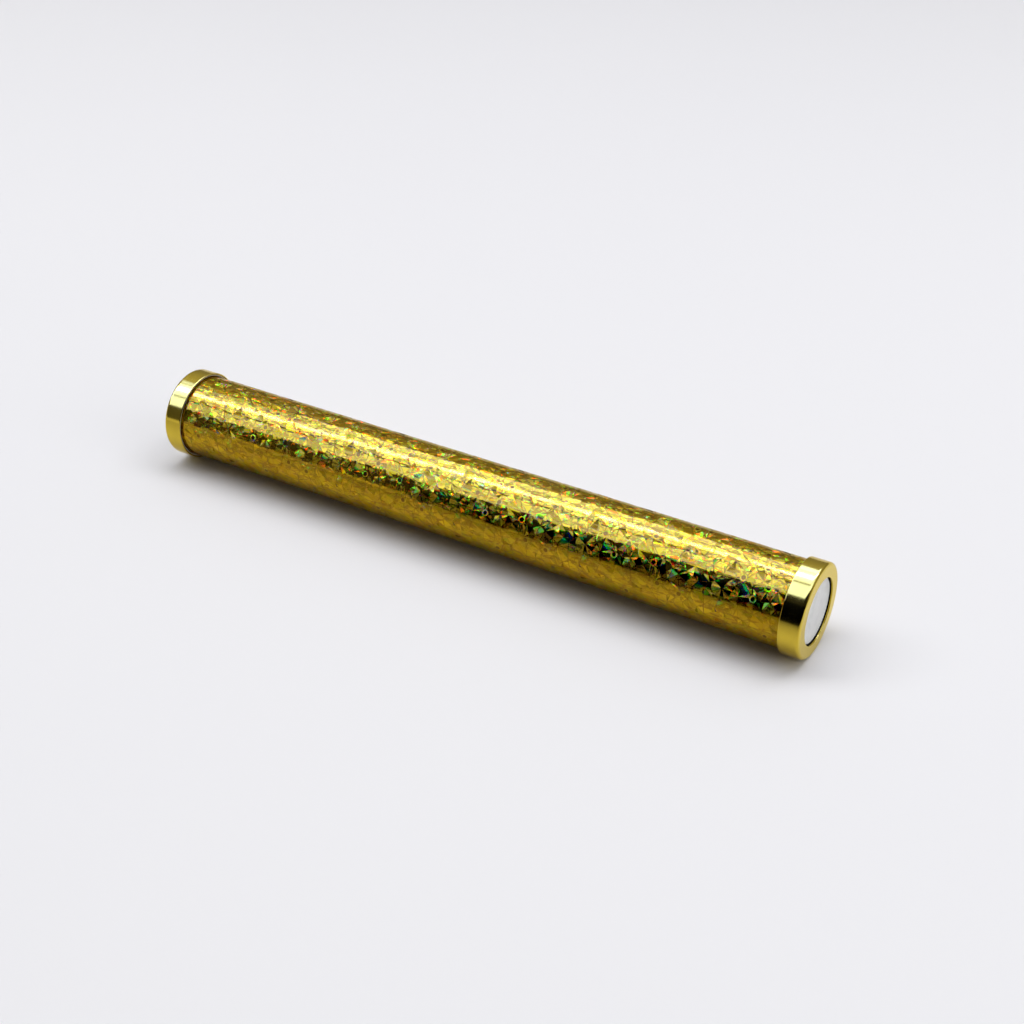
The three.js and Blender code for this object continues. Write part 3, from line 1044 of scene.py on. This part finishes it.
def make_lamps():
    """Two soft lamps for the table, and panels and dark cards that only gloss shows."""
    square_to_view = Euler((0, 0, ROOM_TURN)).to_quaternion()
    key = soft_lamp("soft_light", 2.4, 0.5, 12.5, room_place(*KEY_PLACE), square_to_view)
    key.color = (0.985, 0.985, 1.0)
    towards_object = (FILL_TARGET - FILL_PLACE).to_track_quat("-Z", "Y")
    soft_lamp("fill_light", 0.7, 0.7, 2.0, FILL_PLACE, towards_object)

    for name, (left, right, front, back, strength) in PANELS.items():
        places = rectangle(left, right, back, front)
        corners = [room_place(x, y, PANEL_HEIGHT) for x, y in places]
        colour = CORE_COLOUR if name.startswith("core") else LAMP_COLOUR
        card = flat_card(f"panel_{name}", corners, glow(f"panel_{name}", colour, strength))
        reflection_only(card)

    places = rectangle(FLAG_LEFT, FLAG_RIGHT, 0.0, FLAG_HEIGHT)
    corners = [(x, FLAG_Y, z) for x, z in places]
    dark = glow("dark_card", (0.0, 0.0, 0.0), 0.0)
    reflection_only(flat_card("camera_side_dark", corners, dark))
    places = rectangle(SHADE_LEFT, SHADE_RIGHT, SHADE_NEAR, SHADE_FAR)
    corners = [(x, y, SHADE_HEIGHT) for x, y in places]
    reflection_only(flat_card("table_falloff", corners, falloff_shade()))


def make_world():
    """A dim room: dark on the camera's side and grey behind the object."""
    world = bpy.data.worlds.new("room")
    bpy.context.scene.world = world
    world.use_nodes = True
    tree = world.node_tree
    tree.nodes.clear()
    output = node(tree, "ShaderNodeOutputWorld")
    direction = node(tree, "ShaderNodeTexCoord").outputs["Generated"]
    apart = node(tree, "ShaderNodeSeparateXYZ", {0: direction})
    towards_back = mapped(tree, apart.outputs[1], -0.3, 0.3)
    upper = mapped(tree, apart.outputs[2], 0.2, 0.7, 0.33, 0.6)
    near_side = mapped(tree, apart.outputs[0], -0.62, -0.35, 0.12, 0.02)
    level = node(tree, "ShaderNodeMix", {0: towards_back, 2: near_side, 3: upper}).outputs[0]
    colour = ramp(tree, level, (0.0, (0, 0, 0)), (1.0, (1.0, 0.99, 0.97)))
    background = node(tree, "ShaderNodeBackground", {"Color": colour, "Strength": 1.0})
    tree.links.new(background.outputs[0], output.inputs["Surface"])


def make_surround():
    """A pale sweep that only the camera sees: it takes over from the table away from the object
    and rises to a wall, so that every view has a plain background."""
    material, tree, output = new_material("surround")
    place = node(tree, "ShaderNodeTexCoord").outputs["Object"]
    distance = vector_maths(tree, "LENGTH", place, out="Value")
    factor = mapped(tree, distance, 0.5, 1.1)
    clear = node(tree, "ShaderNodeBsdfTransparent")
    pale = node(tree, "ShaderNodeEmission", {"Color": (0.8, 0.8, 0.83, 1), "Strength": 1.0})
    finish_material(tree, output, shader_mix(tree, factor, clear.outputs[0], pale.outputs[0]))
    count = SURROUND_SEGMENTS
    places, faces = [], []
    for radius, height in SURROUND_PROFILE:
        for k in range(count):
            angle = 2 * math.pi * k / count
            places.append((radius * math.cos(angle), radius * math.sin(angle), height))
    for i in range(len(SURROUND_PROFILE) - 1):
        for k in range(count):
            j = (k + 1) % count
            faces.append((i * count + k, i * count + j, (i + 1) * count + j, (i + 1) * count + k))
    mesh = bpy.data.meshes.new("surround")
    mesh.from_pydata(places, [], faces)
    mesh.materials.append(material)
    surround = add_object("surround", mesh)
    hide_from(surround, "diffuse", "glossy", "shadow", "transmission")
    surround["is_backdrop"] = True


make_camera()
make_floor()
make_lamps()
make_world()
make_surround()
bpy.context.scene.view_settings.view_transform = "Standard"


# ------------------------------------------------------------------ the object

def cell_bezel(material):
    """The dark ring round the disc, with an inner land that lies deeper than its rim."""
    rear, front = span("cell_bezel")
    rim_radius = outer_radius("cell_bezel")
    land = front - BEZEL_SINK
    hole = DISC_BOSS_RADIUS + DISC_CLEARANCE
    outline = filleted(
        [
            (rear, hole, 0.05),
            (rear, rim_radius, 0.1),
            (front, rim_radius, 0.1),
            (front, DISC_RADIUS, 0.05),
            (land, DISC_RADIUS, 0.1),
            (land, hole, 0.08),
        ]
    )
    stands_for(turned("cell_bezel_ring", outline), material, "black_plastic", "cell_bezel")


def frosted_disc(material):
    """The frosted disc: a flange behind the bezel, and a boss that comes forward through it."""
    rear, front = span("frosted_disc")
    step = span("cell_bezel")[0] - SLIP
    outline = filleted(
        [
            (rear, 0, 0),
            (rear, DISC_RADIUS, 0.08),
            (step, DISC_RADIUS, 0.08),
            (step, DISC_BOSS_RADIUS, 0.05),
            (front, DISC_BOSS_RADIUS, 0.2),
            (front, 0, 0),
        ]
    )
    stands_for(turned("frosted_disc_lens", outline), material, "frosted_plastic", "frosted_disc")


def eye_mask(material):
    """The black card washer that the eye looks through."""
    rear, front = span("eye_mask")
    outline = ring_outline(rear, front, EYE_HOLE_RADIUS, outer_radius("eye_mask"), 0.06)
    stands_for(turned("eye_mask_washer", outline), material, "black_card", "eye_mask")


cap_gold = cap_metal("cap_gold")
cap("front_cap_shell", "front_cap", 1, cap_gold)
cap("rear_cap_shell", "rear_cap", -1, cap_gold)
film_sheet(hologram_film("hologram_film"))
cell_bezel(speckled("black_plastic", grey(0.008), grey(0.014), 6.0, 0.45, 0.004))
frosted_disc(frosted_plastic("frosted_plastic"))
black_card = speckled("black_card", (0.014, 0.013, 0.011), (0.032, 0.03, 0.026), 5.0, 0.85, 0.02)
eye_mask(black_card)


# ------------------------------------------------------------------ pieces inside

ARRIS_ANGLE = math.radians(35)  # edges sharper than this are softened
FOAM_ROUNDING = 0.28
FOAM_EDGE = 0.8  # longest edge left whole
FOAM_UNEVENNESS = 0.05
ROUND_BEAD = (1.19, 0.25)  # radius, and radius of the hole
SHEET_COLOURS = {
    "chip_green": (0.04, 0.55, 0.16),
    "chip_amber": (0.85, 0.36, 0.03),
    "drop_turquoise": (0.05, 0.6, 0.62),
    "chip_violet": (0.3, 0.1, 0.6),
    "chip_red": (0.75, 0.03, 0.03),
}


def centre(node_name):
    """The middle of a node's box, in metres."""
    low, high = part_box(node_name)
    return (Vector(low) + Vector(high)) / 2


def bead_outline(radius, hole):
    """The outline of a round bead drilled along X."""
    start = math.asin(hole / radius)
    sweep = math.pi - 2 * start
    angles = [start + sweep * k / BEAD_STEPS for k in range(BEAD_STEPS + 1)]
    return [(-radius * math.cos(a), radius * math.sin(a)) for a in angles]


def loose_bead(node_name, outline, material, slot):
    """A turned bead at its CAD node's place, on its own body."""
    bead = turned(f"{node_name}_turned", outline, BEAD_SEGMENTS)
    off_axis = centre(node_name) - Vector((0, 0, AXIS_HEIGHT))
    bead.data.transform(Matrix.Translation(off_axis))
    stands_for(bead, material, slot, node_name, body=node_name)


def foam_block(node_name, material, rng):
    """A soft pad cut by hand from foam: rounded arrises and slightly uneven faces, drawn inward."""
    made = bmesh.new()
    made.from_mesh(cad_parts[node_name].data)
    bmesh.ops.remove_doubles(made, verts=made.verts, dist=0.001 * MM)
    bmesh.ops.dissolve_limit(
        made, angle_limit=math.radians(3), verts=made.verts, edges=made.edges
    )
    sharp = [e for e in made.edges if e.calc_face_angle(0) > ARRIS_ANGLE]
    bmesh.ops.bevel(
        made,
        geom=sharp,
        offset=FOAM_ROUNDING * MM,
        segments=3,
        affect="EDGES",
        profile=0.5,
        clamp_overlap=True,
    )
    bmesh.ops.triangulate(made, faces=made.faces)
    long_edges = [e for e in made.edges if e.calc_length() > FOAM_EDGE * MM]
    bmesh.ops.subdivide_edges(made, edges=long_edges, cuts=3, use_grid_fill=True)
    made.normal_update()
    for vertex in made.verts:
        vertex.co -= vertex.normal * rng.uniform(0.0, FOAM_UNEVENNESS) * MM
    mesh = bpy.data.meshes.new(f"{node_name}_soft")
    made.to_mesh(mesh)
    made.free()
    pad = smooth_mesh(f"{node_name}_soft", mesh)
    stands_for(pad, material, "black_foam", node_name)


def dress(node_name, material, bevel_width=0.04):
    """Shows a CAD node as it is, with softened arrises and its own material."""
    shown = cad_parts[node_name]
    shown.data.materials.clear()
    shown.data.materials.append(material)
    soften = shown.modifiers.new("softened_arrises", "BEVEL")
    soften.width = bevel_width * MM
    soften.segments = 2
    soften.limit_method = "ANGLE"
    soften.angle_limit = ARRIS_ANGLE


pearl = speckled("pearl", (0.8, 0.76, 0.7), (0.9, 0.87, 0.84), 2.0, 0.2, 0.001, coat=0.8)
ruby = clear_sheet("ruby_glass", (0.7, 0.01, 0.04))
gold_glass = speckled(
    "gold_glass", (0.7, 0.42, 0.06), (0.9, 0.6, 0.12), 3.0, 0.15, 0.002, metallic=0.8
)
pink = speckled("pink_sequin", (0.7, 0.06, 0.3), (0.85, 0.12, 0.42), 3.0, 0.25, 0.003, metallic=0.6)
loose_bead("bead_ruby", bead_outline(*ROUND_BEAD), ruby, "ruby_glass")
loose_bead("bead_pearl", bead_outline(*ROUND_BEAD), pearl, "pearl")
loose_bead("bead_tube_gold", ring_outline(-1.1, 1.1, 0.35, 0.85, 0.18), gold_glass, "gold_glass")
loose_bead("sequin_round", ring_outline(-0.35, 0.35, 0.3, 1.39, 0.12), pink, "pink_sequin")

rng = random.Random(5)
foam = foam_rubber("black_foam")
for end in ("rear", "front"):
    for k in (1, 2, 3):
        foam_block(f"foam_pad_{end}_{k}", foam, rng)

dress("card_tube", spiral_card("kraft_card"))
tape = speckled("adhesive_tape", (0.5, 0.44, 0.3), (0.62, 0.56, 0.42), 3.0, 0.5, 0.006, coat=0.2)
for name in ("front_cap_tape", "rear_cap_tape"):
    dress(name, tape, 0.02)
clear = clear_sheet("clear_plastic", (0.96, 0.97, 0.97))
for name in ("eye_window", "cell_window", "cell_ring"):
    dress(name, clear)
dress("rear_spacer_ring", black_card)
silver = speckled("mirror_strip", grey(0.86), grey(0.9), 0.8, 0.03, 0.0, metallic=1.0)
for k in (1, 2, 3):
    dress(f"mirror_strip_{k}", silver)
black_tape = speckled(
    "black_tape", grey(0.015), grey(0.04), 4.0, 0.6, 0.02, stretch=(0.6, 2.0, 2.0)
)
for band in ("rear", "middle", "front"):
    dress(f"prism_tape_{band}", black_tape, 0.02)
for name, colour in SHEET_COLOURS.items():
    dress(name, clear_sheet(f"{name}_glass", colour), 0.08)
blue = speckled("blue_sequin", (0.02, 0.1, 0.5), (0.06, 0.2, 0.7), 3.0, 0.25, 0.003, metallic=0.7)
yellow = speckled(
    "yellow_sequin", (0.7, 0.5, 0.05), (0.85, 0.66, 0.1), 3.0, 0.25, 0.003, metallic=0.7
)
dress("star_sequin", blue, 0.06)
dress("half_moon_sequin", yellow, 0.06)

boxes = {"cad": cad_bounds, "visual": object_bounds()}
{name: [list(corner) for corner in box] for name, box in boxes.items()}
